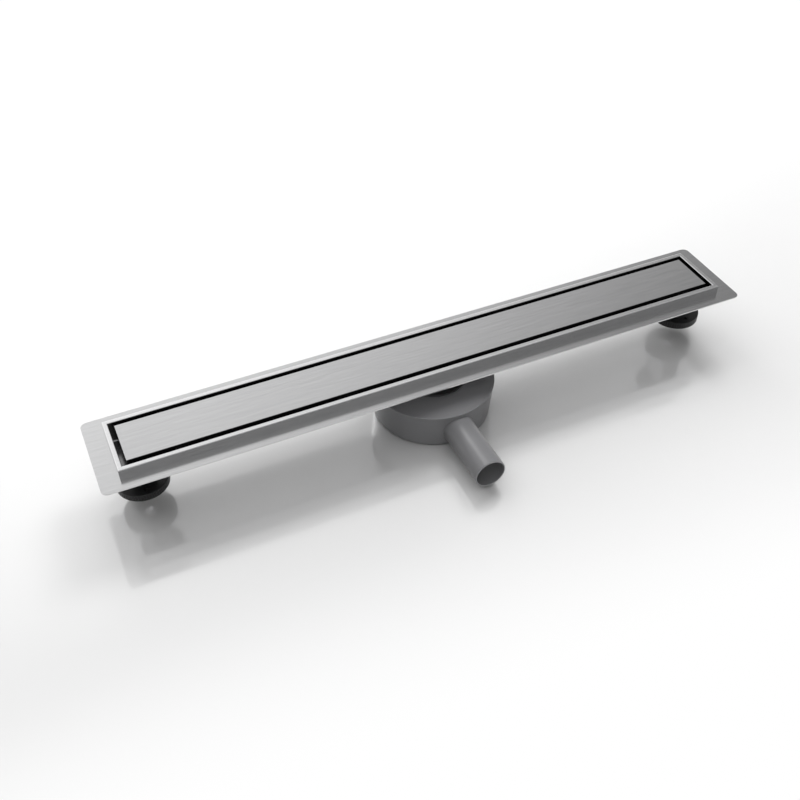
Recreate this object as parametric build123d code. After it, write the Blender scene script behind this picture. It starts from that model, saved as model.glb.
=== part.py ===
from build123d import *
from math import cos, radians, sin
import os

# Linear shower drain: a folded stainless channel with a flush solid cover, standing on a flat
# plastic trap whose outlet turns about the upright axis. Millimetres, +Z up, +X along the channel.
# The origin is on the swivel axis, on the flat underside of the trap. The outlet points to -Y.

# Channel sheet, seen from above; the flange margins are its width outside the rim
sheet = 1.5
trough_length = 801.0
trough_width = 73.3
rim_width = 5.6
rim_height = 11.5
fold_radius = 1.2
flange_end_margin = 23.9
flange_side_margin = 18.75
flange_corner_radius = 8.0

# Trough below the flange
trough_depth = 23.0
trough_fall = 6.0
sump_half_length = 50.0
trough_bend_radius = 3.0

# Cover and the saddles that carry it; outer saddles are set in from the trough's ends
cover_gap = 6.6
cover_depth = 10.0
cover_edge_radius = 0.6
saddle_length = 16.0
saddle_clearance = 0.2
saddle_wall = 3.0
saddle_arch_width = 44.0
saddle_arch_height = 8.0
saddle_arch_radius = 3.0
outer_saddle_inset = 70.5
inner_saddle_from_sump = 70.0

# Trap bowl and outlet spigot; the spigot's root outside the bowl is slightly tapered
trap_height = 51.2
trap_top_radius = 79.8
trap_base_radius = 75.0
trap_base_round = 4.0
trap_wall = 3.0
trap_floor = 3.0
trap_rim_wall = 2.8
trap_rim_round = 0.9
lid_ledge = 2.0
outlet_radius = 20.0
outlet_wall = 1.6
outlet_height = 25.1
outlet_reach = 161.0
outlet_root_length = 4.0
outlet_root_growth = 0.6
outlet_chamfer = 0.6

# Trap lid
lid_thickness = 3.0
lid_rise = 3.5
lid_hub_margin = 1.0
lid_collar_wall = 4.0
lid_collar_length = 12.7
fit_clearance = 0.05
axial_gap = 0.3

# Swivel socket, clamped to the trough
socket_wall = 3.0
socket_flange_inset = 1.0
socket_flange_thickness = 3.2
socket_tail = 3.2
gasket_radius = 45.0
gasket_thickness = 2.0
hole_clearance = 0.3
o_ring_groove_depth = 2.0
o_ring_slack = 0.3
swivel_seal_drop = 4.7
snap_ring_width = 3.5
snap_ring_thickness = 1.5
snap_ring_groove_depth = 1.1
snap_ring_gap_angle = 24.0
snap_ring_eye_radius = 0.8

# Clamp ring and its screws
clamp_thickness = 2.5
clamp_band = 7.9
clamp_edge_gap = 0.65
clamp_screw_count = 4
screw_radius = 2.0
screw_head_radius = 3.8
screw_head_height = 1.9
screw_socket_radius = 1.4
screw_socket_depth = 1.2
screw_end_cover = 0.5

# Dip tube, its seal and the cup that it dips into
dip_flange_thickness = 1.8
dip_throat_wall = 3.0
dip_throat_depth = 12.0
dip_cone_height = 7.0
dip_tube_radius = 13.5
dip_tube_wall = 1.5
dip_tube_bottom = 11.0
dip_seal_drop = 6.0
cup_play = 1.0
cup_wall = 1.5
cup_rim_height = 33.0
cup_ring_wall = 1.5
cup_ring_height = 2.5

# Hair strainer
strainer_sheet = 0.8
strainer_depth = 7.0
strainer_rim_inset = 0.5
strainer_hole_radius = 2.0
strainer_hole_step = 6.0
strainer_rings = 2

# Adjustable feet: bracket, nuts, stud and pad, set in from the trough's ends
foot_inset = 20.5
thread_radius = 4.0
thread_pitch = 1.25
foot_turns = 8
stud_top_clearance = 0.5
spare_thread = 2.0
bracket_sheet = 2.0
bracket_length = 30.0
bracket_width = 38.0
hex_across = 13.0
weld_nut_height = 6.5
lock_nut_height = 4.0
stud_hex_height = 4.0
stud_chamfer = 0.8
nut_chamfer = 0.6
neck_radius = 3.0
pad_radius = 32.0
pad_height = 11.1
pad_band_height = 9.8
pad_shell = 3.0
pad_hub_radius = 11.0
pad_edge_round = 1.0
pad_groove_count = 60
pad_groove_depth = 0.6
pad_groove_end_margin = 1.6
pad_rib_count = 6
pad_rib_width = 2.4
pad_hole_radius = 2.5
pad_hole_offset = 24.0
pad_boss_wall = 2.0
clip_radius = 6.5
clip_thickness = 1.0
clip_recess_depth = 4.0
clip_groove_depth = 0.5
clip_space = 2.0
neck_end_cover = 1.0

# Heights, stacked upwards from the trap's underside
lid_ledge_z = trap_height - lid_thickness - axial_gap
lid_hub_z = trap_height + lid_rise
lid_collar_z = lid_hub_z - lid_collar_length
socket_flange_z = lid_hub_z + axial_gap
gasket_z = socket_flange_z + socket_flange_thickness
trough_under_z = gasket_z + gasket_thickness
floor_z = trough_under_z + sheet
flange_z = floor_z + trough_depth
rim_z = flange_z + rim_height
snap_ring_z = lid_collar_z - axial_gap - snap_ring_thickness
socket_bottom_z = lid_collar_z - socket_tail
swivel_seal_z = lid_hub_z - swivel_seal_drop

# Sizes that follow from the ones above
trough_half_length = trough_length / 2
flange_length = trough_length + 2 * (rim_width + flange_end_margin)
flange_width = trough_width + 2 * (rim_width + flange_side_margin)
outer_saddle_x = trough_half_length - outer_saddle_inset
inner_saddle_x = sump_half_length + inner_saddle_from_sump
foot_x = trough_half_length - foot_inset
outlet_root_end = trap_top_radius + outlet_root_length
clamp_radius = trough_width / 2 - trough_bend_radius - clamp_edge_gap
clamp_bore = clamp_radius - clamp_band
clamp_screw_circle_radius = (clamp_radius + clamp_bore) / 2
socket_radius = clamp_bore - 2 * hole_clearance
socket_flange_radius = gasket_radius - socket_flange_inset
lid_hub_radius = gasket_radius + lid_hub_margin
lid_bore = socket_radius + fit_clearance
cover_length = trough_length - 2 * cover_gap
cover_width = trough_width - 2 * cover_gap
cover_under_z = rim_z - sheet
skirt_z = rim_z - cover_depth
socket_bore = socket_radius - socket_wall
trough_hole_radius = socket_radius + hole_clearance
clamp_top_z = floor_z + clamp_thickness
dip_flange_radius = socket_radius
dip_flange_z = floor_z + dip_flange_thickness
dip_throat_radius = socket_bore - hole_clearance
cup_radius = socket_bore - cup_play
swivel_seal_floor = socket_radius - o_ring_groove_depth
swivel_seal_section = lid_bore - swivel_seal_floor - fit_clearance - o_ring_slack
dip_seal_z = floor_z - dip_seal_drop
dip_seal_floor = dip_throat_radius - o_ring_groove_depth
dip_seal_section = socket_bore - dip_seal_floor - 2 * fit_clearance
strainer_radius = dip_throat_radius - dip_throat_wall - hole_clearance
foot_travel = thread_pitch * foot_turns
stud_radius = thread_radius - fit_clearance

BASE = (Align.CENTER, Align.CENTER, Align.MIN)


def disc(radius, height, z, x=0.0, y=0.0):
    """Upright cylinder standing at height z."""
    return Pos(x, y, z) * Cylinder(radius, height, align=BASE)


def ring(outer, inner, height, z, x=0.0, y=0.0):
    """Flat ring standing at height z."""
    return disc(outer, height, z, x, y) - disc(inner, height, z, x, y)


def block(length, width, height, z, x=0.0, y=0.0):
    """Box centred on x and y, standing at height z."""
    return Pos(x, y, z) * Box(length, width, height, align=BASE)


def turned(*points):
    """Solid of revolution about Z from an outline of (radius, height) points."""
    outline = make_face(Polyline(*points, close=True))
    return revolve(Plane.XZ * outline, Axis.Z)


def o_ring(groove_floor, section, z):
    """Round-section seal in a groove, lying flat at height z."""
    return Pos(0, 0, z) * Torus(groove_floor + fit_clearance + section / 2, section / 2)


def polar(radius, angle):
    """Point on a circle about the Z axis, angle in degrees."""
    return radius * cos(radians(angle)), radius * sin(radians(angle))


def floor_height(x):
    """Height of the trough floor's upper face: level at the sump, rising towards the ends."""
    run = max(0.0, abs(x) - sump_half_length)
    return floor_z + run * trough_fall / (trough_half_length - sump_half_length)


def under_height(x):
    """Height of the trough floor's underside."""
    return floor_height(x) - sheet


def trough_block(grow, top_z):
    """The trough's space up to top_z, offset outwards by grow, with its bends rounded."""
    half = trough_half_length + grow
    width = trough_width + 2 * grow
    end_z = floor_height(half) - grow
    mid_z = floor_z - grow
    outline = Polyline(
        (-half, top_z), (-half, end_z), (-sump_half_length, mid_z),
        (sump_half_length, mid_z), (half, end_z), (half, top_z), close=True,
    )
    solid = extrude(Plane.XZ * make_face(outline), amount=width / 2, both=True)
    bends = [
        edge for edge in solid.edges()
        if abs(abs(edge.center().Y) - width / 2) < 0.01
        and edge.center().Z < end_z + 0.01 and abs((edge % 0.5).Z) < 0.5
    ]
    return fillet(bends, trough_bend_radius + grow)


def screw_points():
    """Centres of the clamp screws, set off the channel's axes."""
    step = 360 / clamp_screw_count
    return [polar(clamp_screw_circle_radius, step * (index + 0.5)) for index in range(clamp_screw_count)]


def channel_body():
    """Flange, folded rim and trough, all from one sheet."""
    plate = extrude(RectangleRounded(flange_length, flange_width, flange_corner_radius), sheet)
    body = Pos(0, 0, flange_z - sheet) * plate
    body += block(trough_length + 2 * rim_width, trough_width + 2 * rim_width, rim_height, flange_z)
    hollow = 2 * (rim_width - sheet)
    body -= block(trough_length + hollow, trough_width + hollow, rim_height, flange_z - sheet)
    body += trough_block(sheet, rim_z)
    body -= trough_block(0, rim_z + sheet)
    body = fillet(body.edges().group_by(Axis.Z)[-1], min(fold_radius, 0.4 * rim_width))
    body -= disc(trough_hole_radius, 3 * sheet, trough_under_z - sheet)
    for x, y in screw_points():
        body -= disc(screw_radius + hole_clearance, 3 * sheet, trough_under_z - sheet, x, y)
    return body


def cover_plate():
    """Solid cover: one sheet with its four edges folded down."""
    tray = block(cover_length, cover_width, cover_depth, skirt_z)
    tray = fillet(tray.edges().group_by(Axis.Z)[-1], cover_edge_radius)
    return tray - block(cover_length - 2 * sheet, cover_width - 2 * sheet, cover_depth - sheet, skirt_z)


def cover_saddle(x):
    """Moulded saddle on the trough floor: carries the cover and centres it, with a water arch."""
    height = skirt_z - floor_z
    lower = block(saddle_length, trough_width, height, floor_z, x)
    lower &= trough_block(-saddle_clearance, skirt_z)
    upper_width = cover_width - 2 * (sheet + saddle_clearance)
    upper = block(saddle_length, upper_width, cover_under_z - skirt_z, skirt_z, x)
    arch_top = floor_height(abs(x) + saddle_length / 2) + saddle_arch_height
    arch = block(2 * saddle_length, saddle_arch_width, arch_top - floor_z + sheet, floor_z - sheet, x)
    arch = fillet(arch.edges().filter_by(Axis.X).group_by(Axis.Z)[-1], saddle_arch_radius)
    pocket_depth = (saddle_length - saddle_wall) / 2
    pocket_z = arch_top + saddle_wall
    saddle = lower + upper - arch
    for side in (-1, 1):
        pocket_x = x + side * (saddle_wall + pocket_depth) / 2
        saddle -= block(pocket_depth, upper_width - 2 * saddle_wall,
                        cover_under_z - saddle_wall - pocket_z, pocket_z, pocket_x)
    return saddle


def outlet_gasket():
    """Flat rubber ring between the trough and the swivel socket."""
    gasket = ring(gasket_radius, trough_hole_radius, gasket_thickness, gasket_z)
    for x, y in screw_points():
        gasket -= disc(screw_radius + hole_clearance, gasket_thickness, gasket_z, x, y)
    return gasket


def swivel_socket():
    """Flanged tube clamped to the trough; the trap lid turns on its outside."""
    seal_half = swivel_seal_section / 2 + fit_clearance
    seal_floor = swivel_seal_floor
    snap_floor = socket_radius - snap_ring_groove_depth
    socket = turned(
        (socket_bore, socket_bottom_z), (socket_radius, socket_bottom_z),
        (socket_radius, snap_ring_z - fit_clearance), (snap_floor, snap_ring_z - fit_clearance),
        (snap_floor, snap_ring_z + snap_ring_thickness + fit_clearance),
        (socket_radius, snap_ring_z + snap_ring_thickness + fit_clearance),
        (socket_radius, swivel_seal_z - seal_half), (seal_floor, swivel_seal_z - seal_half),
        (seal_floor, swivel_seal_z + seal_half), (socket_radius, swivel_seal_z + seal_half),
        (socket_radius, socket_flange_z), (socket_flange_radius, socket_flange_z),
        (socket_flange_radius, gasket_z), (socket_radius, gasket_z),
        (socket_radius, floor_z), (socket_bore, floor_z),
    )
    for x, y in screw_points():
        socket -= disc(screw_radius + fit_clearance, socket_flange_thickness, socket_flange_z, x, y)
    return socket


def swivel_o_ring():
    """Seal in the socket's groove, just inside the lid's collar."""
    return o_ring(swivel_seal_floor, swivel_seal_section, swivel_seal_z)


def snap_ring():
    """Open retaining ring under the lid's collar, with two eyes for pliers."""
    inner = socket_radius - snap_ring_groove_depth + fit_clearance
    outer = inner + snap_ring_width
    clip = ring(outer, inner, snap_ring_thickness, snap_ring_z)
    clip -= block(snap_ring_width * 2, 2 * outer * sin(radians(snap_ring_gap_angle / 2)),
                  snap_ring_thickness, snap_ring_z, (inner + outer) / 2)
    for side in (-1, 1):
        x, y = polar((inner + outer) / 2, side * snap_ring_gap_angle * 0.75)
        clip -= disc(snap_ring_eye_radius, snap_ring_thickness, snap_ring_z, x, y)
    return clip


def clamp_ring():
    """Ring inside the trough that pulls the socket and gasket up against it."""
    clamp = ring(clamp_radius, clamp_bore, clamp_thickness, floor_z)
    for x, y in screw_points():
        clamp -= disc(screw_radius + hole_clearance, clamp_thickness, floor_z, x, y)
        sink = Cone(screw_radius + hole_clearance, screw_head_radius + fit_clearance, screw_head_height,
                    align=BASE)
        clamp -= Pos(x, y, clamp_top_z - screw_head_height) * sink
    return clamp


def clamp_screws():
    """Countersunk screws, flush with the clamp ring."""
    end_z = socket_flange_z + screw_end_cover
    screws = []
    for x, y in screw_points():
        head = Cone(screw_radius, screw_head_radius, screw_head_height, align=BASE)
        screw = Pos(x, y, clamp_top_z - screw_head_height) * head
        screw += disc(screw_radius, clamp_top_z - screw_head_height - end_z, end_z, x, y)
        key = extrude(RegularPolygon(screw_socket_radius, 6), screw_socket_depth)
        screws.append(screw - Pos(x, y, clamp_top_z - screw_socket_depth) * key)
    return Compound(children=screws)


def dip_tube():
    """Lift-out funnel that hangs in the socket and dips into the cup."""
    bore = dip_throat_radius - dip_throat_wall
    throat_z = floor_z - dip_throat_depth
    seal_z = dip_seal_z
    seal_half = dip_seal_section / 2 + fit_clearance
    seal_floor = dip_seal_floor
    cone_z = throat_z - dip_cone_height
    tube_bore = dip_tube_radius - dip_tube_wall
    return turned(
        (tube_bore, dip_tube_bottom), (dip_tube_radius, dip_tube_bottom), (dip_tube_radius, cone_z),
        (dip_throat_radius, throat_z), (dip_throat_radius, seal_z - seal_half),
        (seal_floor, seal_z - seal_half), (seal_floor, seal_z + seal_half),
        (dip_throat_radius, seal_z + seal_half), (dip_throat_radius, floor_z),
        (dip_flange_radius, floor_z), (dip_flange_radius, dip_flange_z),
        (bore, dip_flange_z), (bore, throat_z), (tube_bore, cone_z),
    )


def dip_tube_o_ring():
    """Seal between the dip tube's throat and the socket's bore."""
    return o_ring(dip_seal_floor, dip_seal_section, dip_seal_z)


def hair_strainer():
    """Pressed basket that hangs by its rim on the dip tube, with round holes in its bottom."""
    rim = dip_flange_radius - strainer_rim_inset
    bottom_z = dip_flange_z - strainer_depth
    top_z = dip_flange_z + strainer_sheet
    inner = strainer_radius - strainer_sheet
    basket = turned(
        (0, bottom_z), (strainer_radius, bottom_z), (strainer_radius, dip_flange_z),
        (rim, dip_flange_z), (rim, top_z), (inner, top_z),
        (inner, bottom_z + strainer_sheet), (0, bottom_z + strainer_sheet),
    )
    centres = [(0, 0)] + [
        polar(row * strainer_hole_step, 60 * index / row)
        for row in range(1, strainer_rings + 1) for index in range(6 * row)
    ]
    return basket - [disc(strainer_hole_radius, strainer_sheet, bottom_z, x, y) for x, y in centres]


def outlet_form(radius):
    """Round form along the outlet from inside the bowl to its end: tapered at the root, then straight."""
    start = trap_base_radius / 2
    root_radius = radius + outlet_root_growth
    form = turned(
        (0, 0), (root_radius, 0), (root_radius, trap_base_radius - start),
        (radius, outlet_root_end - start), (radius, outlet_reach - start), (0, outlet_reach - start),
    )
    return form, Pos(0, -start, outlet_height) * Rot(90, 0, 0)


def trap_bowl():
    """Shallow round bowl with its outlet spigot, moulded as one."""
    rim_bore = trap_top_radius - trap_rim_wall
    ledge_bore = rim_bore - lid_ledge
    outside = turned((0, 0), (trap_base_radius, 0), (trap_top_radius, trap_height), (0, trap_height))
    outside = fillet(outside.edges().group_by(Axis.Z)[0], trap_base_round)
    spigot, to_outlet = outlet_form(outlet_radius)
    spigot = chamfer(spigot.edges().group_by(Axis.Z)[-1], outlet_chamfer)
    bore = outlet_form(outlet_radius - outlet_wall)[0]
    inside = turned(
        (0, trap_floor), (trap_base_radius - trap_wall, trap_floor), (ledge_bore, lid_ledge_z),
        (rim_bore, lid_ledge_z), (rim_bore, trap_height), (0, trap_height),
    )
    bowl = outside + to_outlet * spigot - inside - to_outlet * bore
    rim_edges = bowl.edges().group_by(Axis.Z)[-1].sort_by(SortBy.RADIUS)
    bowl = fillet(rim_edges[-1], trap_rim_round)
    return bowl + ring(cup_radius + hole_clearance + cup_ring_wall, cup_radius + hole_clearance,
                       cup_ring_height, trap_floor)


def trap_lid():
    """Domed lid in the bowl's rim, with the collar that turns on the socket."""
    bore = lid_bore
    collar = bore + lid_collar_wall
    edge = trap_top_radius - trap_rim_wall - fit_clearance
    return turned(
        (bore, lid_collar_z), (collar, lid_collar_z), (collar, lid_hub_z - lid_thickness),
        (lid_hub_radius, lid_hub_z - lid_thickness), (edge - lid_ledge, lid_ledge_z),
        (edge, lid_ledge_z), (edge, lid_ledge_z + lid_thickness),
        (lid_hub_radius, lid_hub_z), (bore, lid_hub_z),
    )


def seal_cup():
    """Cup that holds the water seal, standing in its ring on the bowl's floor."""
    return disc(cup_radius, cup_rim_height - trap_floor, trap_floor) - disc(
        cup_radius - cup_wall, cup_rim_height - trap_floor, trap_floor + cup_wall)


def foot_heights(x):
    """Heights of one foot's stack, from the trough's underside down to the pad."""
    stud_top = under_height(abs(x) - bracket_length / 2) - stud_top_clearance
    web = stud_top - foot_travel - spare_thread - weld_nut_height - bracket_sheet
    lock_nut = web - lock_nut_height
    hub_top = lock_nut - axial_gap - stud_hex_height
    return stud_top, web, lock_nut, hub_top


def hexagon(height, z, x):
    """Hexagonal prism with its corners chamfered at both ends."""
    corner_radius = hex_across / 2 / cos(radians(30))
    prism = Pos(x, 0, z) * extrude(RegularPolygon(corner_radius, 6), height)
    turned_blank = disc(corner_radius, height, z, x)
    return prism & chamfer(turned_blank.edges().filter_by(GeomType.CIRCLE), nut_chamfer)


def hex_nut(height, z, x):
    """Nut on the foot's stud."""
    return hexagon(height, z, x) - disc(thread_radius, height, z, x)


def foot_bracket(x):
    """U-shaped sheet bracket welded under the trough, with a hole for the stud."""
    web_z = foot_heights(x)[1]
    height = flange_z - web_z
    bracket = block(bracket_length, bracket_width, height, web_z, x)
    bracket -= block(bracket_length - 2 * bracket_sheet, bracket_width, height, web_z + bracket_sheet, x)
    bracket -= trough_block(sheet, rim_z)
    return bracket - disc(thread_radius, bracket_sheet, web_z, x)


def foot_stud(x):
    """Threaded stud with a spanner hexagon and a grooved neck that turns in the pad."""
    stud_top, web, lock_nut, hub_top = foot_heights(x)
    hex_top = hub_top + stud_hex_height
    pad_z = hub_top - pad_height
    thread = disc(stud_radius, stud_top - hex_top, hex_top, x)
    thread = chamfer(thread.edges().group_by(Axis.Z)[-1], stud_chamfer)
    neck_z = pad_z + neck_end_cover
    clip_z = pad_z + clip_recess_depth - axial_gap - clip_thickness
    neck = disc(neck_radius, hub_top - neck_z, neck_z, x)
    neck -= ring(neck_radius, neck_radius - clip_groove_depth, clip_thickness + 2 * fit_clearance,
                 clip_z - fit_clearance, x)
    return thread + hexagon(stud_hex_height, hub_top, x) + neck


def foot_clip(x):
    """Retaining washer snapped into the neck's groove under the pad's hub."""
    pad_z = foot_heights(x)[3] - pad_height
    clip_z = pad_z + clip_recess_depth - axial_gap - clip_thickness
    inner = neck_radius - clip_groove_depth + fit_clearance
    washer = ring(clip_radius, inner, clip_thickness, clip_z, x)
    return washer - block(clip_radius, 2 * inner * 0.8, clip_thickness, clip_z, x + clip_radius / 2)


def foot_pad(x):
    """Round ribbed pad: domed top, hollow underside with ribs, two screw holes."""
    hub_top = foot_heights(x)[3]
    pad_z = hub_top - pad_height
    band_z = pad_z + pad_band_height
    outside = turned((0, pad_z), (pad_radius, pad_z), (pad_radius, band_z),
                     (pad_hub_radius, hub_top), (0, hub_top))
    rim_edges = outside.edges().filter_by(GeomType.CIRCLE).sort_by(SortBy.RADIUS)[-2:]
    outside = fillet(rim_edges.group_by(Axis.Z)[-1], pad_edge_round)
    hub = clip_radius + clip_space + pad_shell
    well = ring(pad_radius - pad_shell, hub, pad_band_height - pad_shell, pad_z)
    ribs = Part()
    for index in range(pad_rib_count):
        rib = block(pad_radius, pad_rib_width, pad_height, pad_z, pad_radius / 2)
        ribs += Rot(0, 0, 360 * index / pad_rib_count) * rib
    for side in (-1, 1):
        ribs += disc(pad_hole_radius + pad_boss_wall, pad_height, pad_z, 0, side * pad_hole_offset)
    pad = outside - (well - ribs)
    groove_side = pad_groove_depth * 2 ** 0.5
    groove_height = pad_band_height - 2 * pad_groove_end_margin
    groove = Box(groove_side, groove_side, groove_height, align=BASE)
    groove = Pos(pad_radius, 0, pad_z + pad_groove_end_margin) * Rot(0, 0, 45) * groove
    pad -= [Rot(0, 0, 360 * index / pad_groove_count) * groove for index in range(pad_groove_count)]
    pad -= disc(neck_radius + fit_clearance, pad_height, pad_z)
    pad -= disc(clip_radius + clip_space, clip_recess_depth, pad_z)
    for side in (-1, 1):
        pad -= disc(pad_hole_radius, pad_height, pad_z, 0, side * pad_hole_offset)
    return Pos(x, 0, 0) * pad


def drain():
    """Every piece of the drain by name."""
    pieces = {
        "channel_body": channel_body(),
        "cover_plate": cover_plate(),
        "outlet_gasket": outlet_gasket(),
        "swivel_socket": swivel_socket(),
        "swivel_o_ring": swivel_o_ring(),
        "snap_ring": snap_ring(),
        "clamp_ring": clamp_ring(),
        "clamp_screws": clamp_screws(),
        "dip_tube": dip_tube(),
        "dip_tube_o_ring": dip_tube_o_ring(),
        "hair_strainer": hair_strainer(),
        "trap_bowl": trap_bowl(),
        "trap_lid": trap_lid(),
        "seal_cup": seal_cup(),
    }
    for name, side in (("left", -1), ("right", 1)):
        pieces[f"{name}_outer_saddle"] = cover_saddle(side * outer_saddle_x)
        pieces[f"{name}_inner_saddle"] = cover_saddle(side * inner_saddle_x)
        x = side * foot_x
        web, lock_nut = foot_heights(x)[1:3]
        pieces[f"{name}_foot_bracket"] = foot_bracket(x)
        pieces[f"{name}_weld_nut"] = hex_nut(weld_nut_height, web + bracket_sheet, x)
        pieces[f"{name}_lock_nut"] = hex_nut(lock_nut_height, lock_nut, x)
        pieces[f"{name}_foot_stud"] = foot_stud(x)
        pieces[f"{name}_foot_clip"] = foot_clip(x)
        pieces[f"{name}_foot_pad"] = foot_pad(x)
    return pieces


os.makedirs("parts", exist_ok=True)
for piece_name, piece in drain().items():
    export_step(piece, f"parts/{piece_name}.step")
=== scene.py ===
from math import cos, hypot, pi, radians, sin

import bmesh
import bpy
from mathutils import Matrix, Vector


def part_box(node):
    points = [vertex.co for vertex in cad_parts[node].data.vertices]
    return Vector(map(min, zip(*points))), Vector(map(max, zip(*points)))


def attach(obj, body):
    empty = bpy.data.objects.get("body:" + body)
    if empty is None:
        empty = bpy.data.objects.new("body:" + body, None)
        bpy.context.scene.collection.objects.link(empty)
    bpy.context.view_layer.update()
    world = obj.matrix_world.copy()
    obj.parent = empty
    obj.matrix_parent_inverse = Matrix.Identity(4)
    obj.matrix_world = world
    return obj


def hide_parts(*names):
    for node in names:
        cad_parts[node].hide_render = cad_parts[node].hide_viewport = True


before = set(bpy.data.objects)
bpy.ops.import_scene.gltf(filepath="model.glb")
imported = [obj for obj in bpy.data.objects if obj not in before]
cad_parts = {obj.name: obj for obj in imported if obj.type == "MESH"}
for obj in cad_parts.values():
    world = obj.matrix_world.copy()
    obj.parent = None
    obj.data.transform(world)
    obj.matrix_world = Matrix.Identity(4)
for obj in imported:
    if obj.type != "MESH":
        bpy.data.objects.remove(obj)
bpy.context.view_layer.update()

# Camera, fitted to the photograph's flange, rim and cover edges; lens and sensor in millimetres,
# turn to the right and tilt down in degrees, distance to the target in metres
LENS = 45.345
SENSOR = 36.0
CAMERA_TURN = 24.541
CAMERA_DOWN = 43.372
CAMERA_DISTANCE = 1.2091
CAMERA_TARGET = Vector((-0.0711, -0.0565, 0.0847))

# Floor, a little paler to the right, where the room that it mirrors is darker, and fading to white
# in front of the drain and far off. Here and below, a group of four numbers that shades something
# gives the values at its start and end, and where these are reached.
FLOOR_SIZE = 14.0
FLOOR_PALENESS = (0.85, 0.95, -0.5, 0.8)
FLOOR_FADE = (0.0, 1.0, 0.14, 0.42)
FLOOR_FAR_FADE = (0.0, 1.0, 0.9, 1.8)
FLOOR_BOUNCE = 0.3
FLOOR_GLOSS = 0.3
FLOOR_ROUGHNESS = 0.1

# Light: a dim room that glows at the back and overhead, and soft lamps given as azimuth from +Y
# towards +X, elevation in degrees, and level, where 1 lights a white floor to white
BACK_GLOW_SIDE = (-0.17, 0.985, 0.0)
BACK_GLOW = (0.26, 1.04, 0.44, 0.78)
TOP_GLOW = (0.26, 1.0, 0.74, 0.95)
LAMP_DISTANCE = 3.0
LAMP_SIZE = 1.2
DRAIN_LAMPS = {
    "key": (80, 60, 0.36),
    "front_fill": (200, 35, 0.1),
}
TRAP_LAMPS = {"gleam": (-10, 48, 0.12)}
FLOOR_LAMPS = {
    "floor_back": (0, 40, 0.1),
    "floor_top_back": (0, 60, 0.07),
    "floor_back_left": (-50, 50, 0.1),
    "floor_back_right": (50, 50, 0.38),
    "floor_left": (-90, 50, 0.04),
}

# Painted shade in the slot round the cover and in the trough: the slot's width, the depths under
# the cover's top between which the painted shade sets in, the distances past its wall between which
# that ends, and how much of the steel's colour is left in it
COVER_GAP = 0.0066
SLOT_DEPTHS = (0.0024, 0.001)
SLOT_WALL = (0.0002, 0.0008)
SLOT_PAINTED_SHADE = 0.35

# Painted shade on undersides, which also darkens their mirror image in the floor: the upward parts
# of the normal between which they begin, and how much of the steel's colour is left on them
UNDERSIDE = (-0.6, -0.4)
UNDERSIDE_PAINTED_SHADE = 0.65

# Painted highlights on the rim's fold and on the outlet's cut end: their brightness, the fold's
# height, and the lengths over which they begin
FOLD_PAINTED_HIGHLIGHT = 1.25
FOLD_HEIGHT = 0.0009
FOLD_START = 0.0005
END_PAINTED_HIGHLIGHT = 1.7
END_START = 0.0004

# Brush lines: their stretch in x, y and z on each sheet, the stretch and share of the broad lines
# among the fine ones, the scale and share of the faint clouds, and the pattern's tint from dark to
# pale with the noise that it runs between
CHANNEL_BRUSH = (60, 2200, 2200)
COVER_BRUSH = (50, 2000, 2000)
BRACKET_BRUSH = (30, 900, 900)
BROAD_STRETCH = 0.45
BROAD_SHARE = 0.6
CLOUD_SCALE = 9.0
CLOUD_SHARE = 0.1
BRUSH_CONTRAST = (0, 1, 0.35, 0.65)

# Thread on the feet's studs, with its crest as shares of the pitch, and a distance from the axis
# that only their hexagons pass
THREAD_PITCH = 0.00125
THREAD_DEPTH = 0.00065
THREAD_CREST = (0.44, 0.56)
THREAD_CHAMFER = 0.0008
THREAD_STEPS = 24
THREAD_REACH = 0.005

# Limits for the studs' meshes: slack when faces are picked, gap that is merged, shortest edge that
# is kept, and angle in degrees above which an edge is sharp
PICK_SLACK = 1e-5
MERGE_GAP = 1e-6
SHORTEST_EDGE = 1e-7
SHARP_ANGLE = 30

# Colours, linear
WHITE = (1, 1, 1, 1)
COVER_COLOUR = (0.66, 0.66, 0.665)
CHANNEL_COLOUR = (0.69, 0.69, 0.695)
STEEL_PLAIN_COLOUR = (0.52, 0.52, 0.525)
TRAP_COLOUR = (0.205, 0.205, 0.212)
SOCKET_COLOUR = (0.05, 0.05, 0.053)
INSERT_COLOUR = (0.62, 0.63, 0.64)
BLACK_COLOUR = (0.007, 0.007, 0.0075)
RUBBER_COLOUR = (0.013, 0.013, 0.013)

SIDES = ("left", "right")


def fill(node, **values):
    """Sets a node's sockets and returns the node; underscores stand for spaces."""
    for key, value in values.items():
        node.inputs[key.replace("_", " ")].default_value = value
    return node


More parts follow.
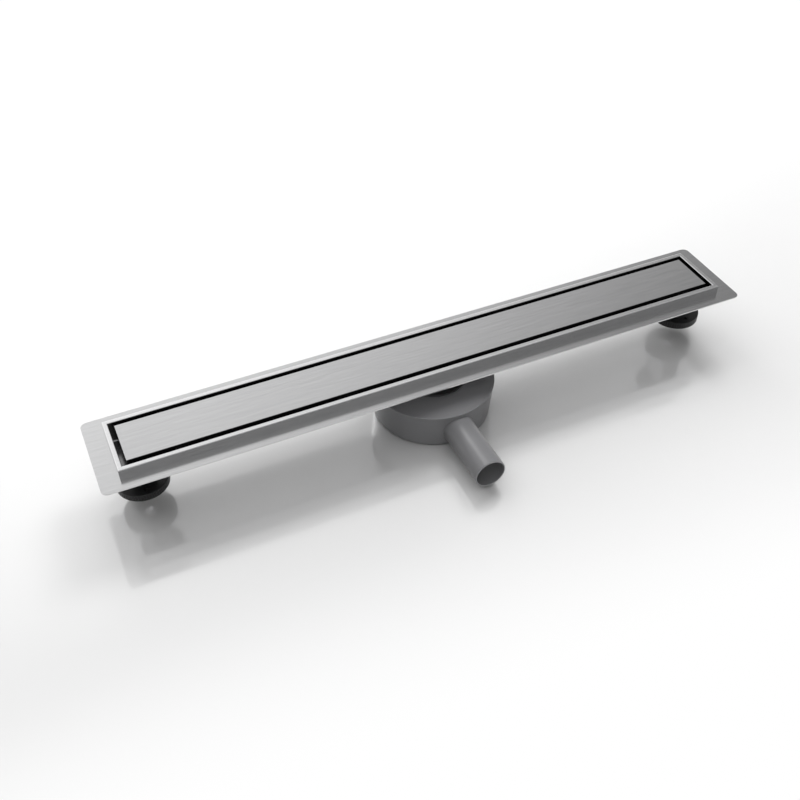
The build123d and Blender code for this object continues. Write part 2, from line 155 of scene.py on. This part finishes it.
class Nodes:
    """The node tree of a material or world, with short ways to add and link nodes."""

    def __init__(self, name, kind="materials"):
        self.owner = getattr(bpy.data, kind).new(name)
        self.owner.use_nodes = True
        self.tree = self.owner.node_tree
        self.shader = self.tree.nodes.get("Principled BSDF")

    def add(self, kind, **settings):
        node = self.tree.nodes.new(kind)
        for key, value in settings.items():
            setattr(node, key, value)
        return node

    def link(self, source, target):
        self.tree.links.new(source, target)

    def place(self, scale=(1, 1, 1)):
        """Object coordinates times scale, so that a pattern stays with its piece."""
        coordinates = self.add("ShaderNodeTexCoord")
        mapping = fill(self.add("ShaderNodeMapping"), Scale=scale)
        self.link(coordinates.outputs["Object"], mapping.inputs["Vector"])
        return mapping.outputs["Vector"]

    def noise(self, vector, scale, detail=2.0, roughness=0.5):
        texture = fill(self.add("ShaderNodeTexNoise"),
                       Scale=scale, Detail=detail, Roughness=roughness)
        self.link(vector, texture.inputs["Vector"])
        return texture.outputs["Fac"]

    def remap(self, value, low, high, start=0.3, end=0.7):
        """A value from start to end turned into low to high, with soft ends."""
        node = fill(self.add("ShaderNodeMapRange", interpolation_type="SMOOTHSTEP"),
                    From_Min=start, From_Max=end, To_Min=low, To_Max=high)
        self.link(value, node.inputs["Value"])
        return node.outputs["Result"]

    def part(self, vector, axis):
        """One coordinate of a vector."""
        node = self.add("ShaderNodeSeparateXYZ")
        self.link(vector, node.inputs["Vector"])
        return node.outputs[axis]

    def average(self, first, second, share=0.5):
        """The mean of two values; share is the weight of the second."""
        node = fill(self.add("ShaderNodeMix", data_type="FLOAT"), Factor=share)
        self.link(first, node.inputs[2])
        self.link(second, node.inputs[3])
        return node.outputs[0]

    def calculate(self, operation, first, second):
        node = self.add("ShaderNodeMath", operation=operation)
        self.link(first, node.inputs[0])
        self.link(second, node.inputs[1])
        return node.outputs["Value"]

    def greatest(self, first, second):
        return self.calculate("MAXIMUM", first, second)

    def times(self, first, second):
        return self.calculate("MULTIPLY", first, second)

    def blend(self, first, second):
        """The node that mixes two shaders."""
        node = self.add("ShaderNodeMixShader")
        self.link(first, node.inputs[1])
        self.link(second, node.inputs[2])
        return node

    def painted_shade_factor(self):
        """Painted shade as a factor on the colour: the slot's painted shade inside the trough and
        on the cover's folded edges, the undersides' painted shade on the undersides, and 1 on the
        open surfaces."""
        coordinates = self.add("ShaderNodeTexCoord")
        place = coordinates.outputs["Object"]
        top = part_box("cover_plate")[1]
        above = self.remap(self.part(place, "Z"), SLOT_PAINTED_SHADE, 1,
                           *[top[2] - depth for depth in SLOT_DEPTHS])
        upward = self.part(coordinates.outputs["Normal"], "Z")
        below = self.remap(upward, 1, SLOT_PAINTED_SHADE, *UNDERSIDE)
        result = self.greatest(above, below)
        for axis, reach in zip("XY", top):
            across = self.add("ShaderNodeMath", operation="ABSOLUTE")
            self.link(self.part(place, axis), across.inputs[0])
            beyond = self.remap(across.outputs["Value"], SLOT_PAINTED_SHADE, 1,
                                *[reach + COVER_GAP + past for past in SLOT_WALL])
            result = self.greatest(result, beyond)
        # Painted shade on faces that look down
        return self.times(result, self.remap(upward, UNDERSIDE_PAINTED_SHADE, 1, *UNDERSIDE))

    def tint(self, colour, value, spread, shade=None):
        """The colour, up to spread lighter or darker with the value, times shade, which paints
        shade and highlights on it.
        """
        node = self.add("ShaderNodeMix", data_type="RGBA")
        node.inputs[6].default_value = (*[max(0.0, c * (1 - spread)) for c in colour], 1)
        node.inputs[7].default_value = (*[min(1.0, c * (1 + spread)) for c in colour], 1)
        self.link(value, node.inputs["Factor"])
        result = node.outputs[2]
        if shade:
            scale = self.add("ShaderNodeVectorMath", operation="SCALE")
            self.link(result, scale.inputs["Vector"])
            self.link(shade, scale.inputs["Scale"])
            result = scale.outputs["Vector"]
        self.link(result, self.shader.inputs["Base Color"])

    def roughen(self, value, low, high):
        self.link(self.remap(value, low, high), self.shader.inputs["Roughness"])

    def bump(self, height, distance, strength):
        node = fill(self.add("ShaderNodeBump"), Distance=distance, Strength=strength)
        self.link(height, node.inputs["Height"])
        self.link(node.outputs["Normal"], self.shader.inputs["Normal"])

    def finish_shader(self, **values):
        """The material, with these values in its shader's sockets."""
        fill(self.shader, **values)
        return self.owner


def brushed_steel(name, colour, along, roughness=(0.24, 0.27), spread=0.045, painted_shade=False,
                  painted_highlight_from=None):
    """Stainless sheet with fine brush lines, stretched by along. When switched on, the slot round
    the cover and the undersides get painted shade, and the fold above the given height a painted
    highlight."""
    nodes = Nodes(name)
    fine = nodes.noise(nodes.place(along), 1.0, detail=3.0, roughness=0.65)
    broad = nodes.noise(nodes.place([BROAD_STRETCH * s for s in along]), 1.0)
    lines = nodes.average(fine, broad, BROAD_SHARE)
    cloud = nodes.noise(nodes.place(), CLOUD_SCALE)
    grain = nodes.remap(nodes.average(lines, cloud, CLOUD_SHARE), *BRUSH_CONTRAST)
    # Painted shade in the slot round the cover, in the trough and on the undersides
    shade = nodes.painted_shade_factor() if painted_shade else None
    # Painted highlight on the rim's fold
    if painted_highlight_from:
        fold = nodes.remap(nodes.part(nodes.place(), "Z"), 1, FOLD_PAINTED_HIGHLIGHT,
                           painted_highlight_from, painted_highlight_from + FOLD_START)
        shade = nodes.times(shade, fold)
    nodes.tint(colour, grain, spread, shade)
    nodes.roughen(lines, *roughness)
    nodes.bump(lines, distance=0.0002, strength=0.03)
    tangent = nodes.add("ShaderNodeTangent", direction_type="RADIAL", axis="X")
    nodes.link(tangent.outputs["Tangent"], nodes.shader.inputs["Tangent"])
    return nodes.finish_shader(Metallic=1.0, Anisotropic=0.4)


def plain_steel(name, colour, grain_scale=220.0):
    """Mill-finish or turned stainless: a soft grain without direction."""
    nodes = Nodes(name)
    grain = nodes.noise(nodes.place(), grain_scale, detail=3.0)
    cloud = nodes.noise(nodes.place(), 35.0)
    nodes.tint(colour, nodes.remap(nodes.average(grain, cloud), 0, 1), spread=0.08)
    nodes.roughen(grain, 0.28, 0.42)
    nodes.bump(grain, distance=0.0002, strength=0.12)
    return nodes.finish_shader(Metallic=1.0)


def moulded_plastic(name, colour, roughness=(0.38, 0.48), spread=0.05, bump=0.12, painted_highlight_at=None):
    """Moulded plastic: a fine even grain with a faint flow pattern under it, and a painted
    highlight where it is cut off at the given Y coordinate."""
    nodes = Nodes(name)
    fine = nodes.noise(nodes.place(), 900.0)
    flow = nodes.noise(nodes.place((1, 1, 2.5)), 22.0, detail=3.0)
    shade = None
    # Painted highlight on the outlet's cut end
    if painted_highlight_at:
        shade = nodes.remap(nodes.part(nodes.place(), "Y"), END_PAINTED_HIGHLIGHT, 1, painted_highlight_at, painted_highlight_at + END_START)
    nodes.tint(colour, nodes.remap(nodes.average(fine, flow, 0.65), 0, 1), spread, shade)
    nodes.roughen(flow, *roughness)
    nodes.bump(fine, distance=0.0003, strength=bump)
    return nodes.finish_shader(Specular_IOR_Level=0.5)


def soft_rubber(name, colour):
    """Matt rubber with a dusty bloom."""
    nodes = Nodes(name)
    fine = nodes.noise(nodes.place(), 1300.0)
    bloom = nodes.noise(nodes.place(), 60.0, detail=3.0)
    nodes.tint(colour, nodes.remap(bloom, 0, 1), spread=0.3)
    nodes.roughen(bloom, 0.62, 0.78)
    nodes.bump(fine, distance=0.0003, strength=0.2)
    return nodes.finish_shader(Specular_IOR_Level=0.4)


def dress(names, material):
    """Gives CAD nodes their material."""
    for name in names:
        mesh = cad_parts[name].data
        mesh.materials.clear()
        mesh.materials.append(material)


def both_sides(*kinds):
    return [f"{side}_{kind}" for side in SIDES for kind in kinds]


def dress_channel():
    # The channel and cover get painted shade in the slot and on undersides, the channel a painted
    # highlight on its rim's fold
    dress(["channel_body"],
          brushed_steel("channel_steel", CHANNEL_COLOUR, CHANNEL_BRUSH, (0.18, 0.21), painted_shade=True,
                        painted_highlight_from=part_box("channel_body")[1][2] - FOLD_HEIGHT))
    dress(["cover_plate"], brushed_steel("cover_steel", COVER_COLOUR, COVER_BRUSH, painted_shade=True))
    dress(["clamp_ring", "clamp_screws", "hair_strainer", "snap_ring"],
          plain_steel("inner_steel", STEEL_PLAIN_COLOUR))
    dress(both_sides("foot_bracket"),
          brushed_steel("bracket_steel", STEEL_PLAIN_COLOUR, BRACKET_BRUSH, spread=0.08))
    dress(both_sides("weld_nut", "lock_nut", "foot_stud", "foot_clip"),
          plain_steel("fastener_steel", STEEL_PLAIN_COLOUR, 400.0))
    dress(both_sides("outer_saddle", "inner_saddle"),
          moulded_plastic("saddle_plastic", BLACK_COLOUR))
    dress(both_sides("foot_pad"), moulded_plastic("pad_plastic", BLACK_COLOUR, (0.3, 0.42)))


def dress_trap():
    # The trap's plastic gets a painted highlight on the outlet's cut end
    dress(["trap_bowl", "trap_lid"],
          moulded_plastic("trap_plastic", TRAP_COLOUR, (0.28, 0.31), spread=0.02, bump=0.05,
                          painted_highlight_at=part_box("trap_bowl")[0][1]))
    dress(["swivel_socket"], moulded_plastic("socket_plastic", SOCKET_COLOUR))
    dress(["dip_tube", "seal_cup"], moulded_plastic("insert_plastic", INSERT_COLOUR, (0.2, 0.3)))
    dress(["outlet_gasket", "swivel_o_ring", "dip_tube_o_ring"],
          soft_rubber("seal_rubber", RUBBER_COLOUR))


def put(name, data):
    """A new object in the scene."""
    thing = bpy.data.objects.new(name, data)
    bpy.context.scene.collection.objects.link(thing)
    return thing


def add_thread(side):
    """The stud with a rolled right-hand thread in place of the CAD's plain shank."""
    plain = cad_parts[f"{side}_foot_stud"]
    low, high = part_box(plain.name)
    middle, top = (low[0] + high[0]) / 2, high[2]
    shape = bmesh.new()
    shape.from_mesh(plain.data)

    def away(vertex):
        return hypot(vertex.co.x - middle, vertex.co.y)

    def vertex_at(reach, step, z):
        angle = 2 * pi * step / THREAD_STEPS
        return shape.verts.new((middle + reach * cos(angle), reach * sin(angle), z))

    foot = max(v.co.z for v in shape.verts if away(v) > THREAD_REACH)
    radius = max(away(v) for v in shape.verts if v.co.z > foot + PICK_SLACK)
    shank = [face for face in shape.faces
             if all(v.co.z > foot - PICK_SLACK and away(v) < radius + PICK_SLACK
                    for v in face.verts)]
    bmesh.ops.delete(shape, geom=shank, context="FACES")
    for face in shape.faces:
        face.smooth = False
    profile = ((0, THREAD_DEPTH), (THREAD_CREST[0], 0), (THREAD_CREST[1], 0), (1, THREAD_DEPTH))
    rows = []
    for step in range(int(((top - foot) / THREAD_PITCH + 1) * THREAD_STEPS) + 2):
        row = []
        for share, depth in profile:
            z = min(max(foot + THREAD_PITCH * (step / THREAD_STEPS + share - 1), foot), top)
            reach = min(radius - depth, radius - THREAD_CHAMFER + top - z)
            row.append(vertex_at(reach, step, z))
        rows.append(row)
    for row, following in zip(rows, rows[1:]):
        for i in range(len(profile) - 1):
            flank = shape.faces.new((row[i], following[i], following[i + 1], row[i + 1]))
            flank.smooth = True
    for reach, z in ((radius, foot), (radius - THREAD_CHAMFER, top)):
        shape.faces.new([vertex_at(reach, step, z) for step in range(THREAD_STEPS)])
    bmesh.ops.remove_doubles(shape, verts=shape.verts, dist=MERGE_GAP)
    bmesh.ops.dissolve_degenerate(shape, edges=shape.edges, dist=SHORTEST_EDGE)
    bmesh.ops.recalc_face_normals(shape, faces=shape.faces)
    mesh = bpy.data.meshes.new(f"{side}_threaded_stud")
    shape.to_mesh(mesh)
    shape.free()
    mesh.attributes.remove(mesh.attributes["custom_normal"])
    mesh.set_sharp_from_angle(angle=radians(SHARP_ANGLE))
    mesh.materials.append(plain.data.materials[0])
    stud = put(f"{side}_threaded_stud", mesh)
    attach(stud, f"{side}_stud")
    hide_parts(plain.name)
    return stud


def floor_material():
    """Pale glossy studio floor that keeps the shadow and a blurred mirror image, fades to white in
    front of the drain, towards -Y, and far off, and is clear from below."""
    nodes = Nodes("floor")
    paleness = nodes.remap(nodes.part(nodes.place(), "X"), *FLOOR_PALENESS)
    path = nodes.add("ShaderNodeLightPath")
    seen = nodes.greatest(path.outputs["Is Camera Ray"], path.outputs["Is Glossy Ray"])
    shade = nodes.add("ShaderNodeMix", data_type="FLOAT")
    shade.inputs[2].default_value = FLOOR_BOUNCE
    nodes.link(paleness, shade.inputs[3])
    nodes.link(seen, shade.inputs["Factor"])
    diffuse = nodes.add("ShaderNodeBsdfDiffuse")
    nodes.link(shade.outputs[0], diffuse.inputs["Color"])
    gloss = fill(nodes.add("ShaderNodeBsdfGlossy"), Roughness=FLOOR_ROUGHNESS, Color=WHITE)
    surface = fill(nodes.blend(diffuse.outputs["BSDF"], gloss.outputs["BSDF"]), Fac=FLOOR_GLOSS)
    white = nodes.add("ShaderNodeEmission")
    faded = nodes.blend(surface.outputs["Shader"], white.outputs["Emission"])
    front = nodes.remap(nodes.part(nodes.place((1, -1, 1)), "Y"), *FLOOR_FADE)
    distance = nodes.add("ShaderNodeVectorMath", operation="LENGTH")
    nodes.link(nodes.place(), distance.inputs[0])
    far = nodes.remap(distance.outputs["Value"], *FLOOR_FAR_FADE)
    nodes.link(nodes.times(nodes.greatest(front, far), seen), faded.inputs["Fac"])
    clear = nodes.add("ShaderNodeBsdfTransparent")
    one_way = nodes.blend(faded.outputs["Shader"], clear.outputs["BSDF"])
    nodes.link(nodes.add("ShaderNodeNewGeometry").outputs["Backfacing"], one_way.inputs["Fac"])
    nodes.link(one_way.outputs["Shader"], nodes.tree.nodes["Material Output"].inputs["Surface"])
    nodes.tree.nodes.remove(nodes.shader)
    return nodes.owner


def add_floor():
    mesh = bpy.data.meshes.new("floor")
    shape = bmesh.new()
    bmesh.ops.create_grid(shape, x_segments=1, y_segments=1, size=FLOOR_SIZE / 2)
    shape.to_mesh(mesh)
    shape.free()
    mesh.materials.append(floor_material())
    floor = put("floor", mesh)
    return floor


def add_camera():
    camera = bpy.data.cameras.new("camera")
    camera.sensor_width = SENSOR
    camera.lens = LENS
    holder = put("camera", camera)
    holder.rotation_euler = (radians(90 - CAMERA_DOWN), 0, radians(-CAMERA_TURN))
    forward = holder.rotation_euler.to_matrix() @ Vector((0, 0, -1))
    holder.location = CAMERA_TARGET - forward * CAMERA_DISTANCE
    bpy.context.scene.camera = holder


def add_lamps(lamps, name, pieces, gleam=False):
    """Soft square lamps aimed at the origin that light only the given pieces; with gleam, their
    gloss mirrors the lamps too."""
    lit = bpy.data.collections.new(name)
    for piece in pieces:
        lit.objects.link(piece)
    for lamp_name, (azimuth, elevation, level) in lamps.items():
        lamp = bpy.data.lights.new(lamp_name, "AREA")
        lamp.size = LAMP_SIZE
        lamp.energy = (pi * LAMP_DISTANCE) ** 2 * level / sin(radians(elevation))
        holder = put(lamp_name, lamp)
        holder.rotation_euler = (radians(90 - elevation), 0, radians(180 - azimuth))
        holder.location = holder.rotation_euler.to_matrix() @ Vector((0, 0, LAMP_DISTANCE))
        holder.light_linking.receiver_collection = lit
        holder.visible_glossy = gleam


def add_world():
    """Dim room with a soft glow at the back and overhead, white where the camera sees past the
    floor."""
    nodes = Nodes("studio", "worlds")
    bpy.context.scene.world = nodes.owner
    direction = nodes.add("ShaderNodeTexCoord").outputs["Generated"]
    facing = nodes.add("ShaderNodeVectorMath", operation="DOT_PRODUCT")
    nodes.link(direction, facing.inputs[0])
    facing.inputs[1].default_value = BACK_GLOW_SIDE
    back = nodes.remap(facing.outputs["Value"], *BACK_GLOW)
    top = nodes.remap(nodes.part(direction, "Z"), *TOP_GLOW)
    camera_ray = nodes.add("ShaderNodeLightPath").outputs["Is Camera Ray"]
    background = fill(nodes.tree.nodes["Background"], Color=WHITE)
    strength = nodes.greatest(nodes.greatest(back, top), camera_ray)
    nodes.link(strength, background.inputs["Strength"])


add_camera()
add_world()
dress_channel()
dress_trap()
studs = [add_thread(side) for side in SIDES]
add_lamps(DRAIN_LAMPS, "lit_drain", [*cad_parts.values(), *studs])
add_lamps(TRAP_LAMPS, "lit_trap", [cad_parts[name] for name in ("trap_bowl", "trap_lid")],
          gleam=True)
add_lamps(FLOOR_LAMPS, "lit_floor", [add_floor()])
bpy.context.scene.view_settings.view_transform = "Standard"
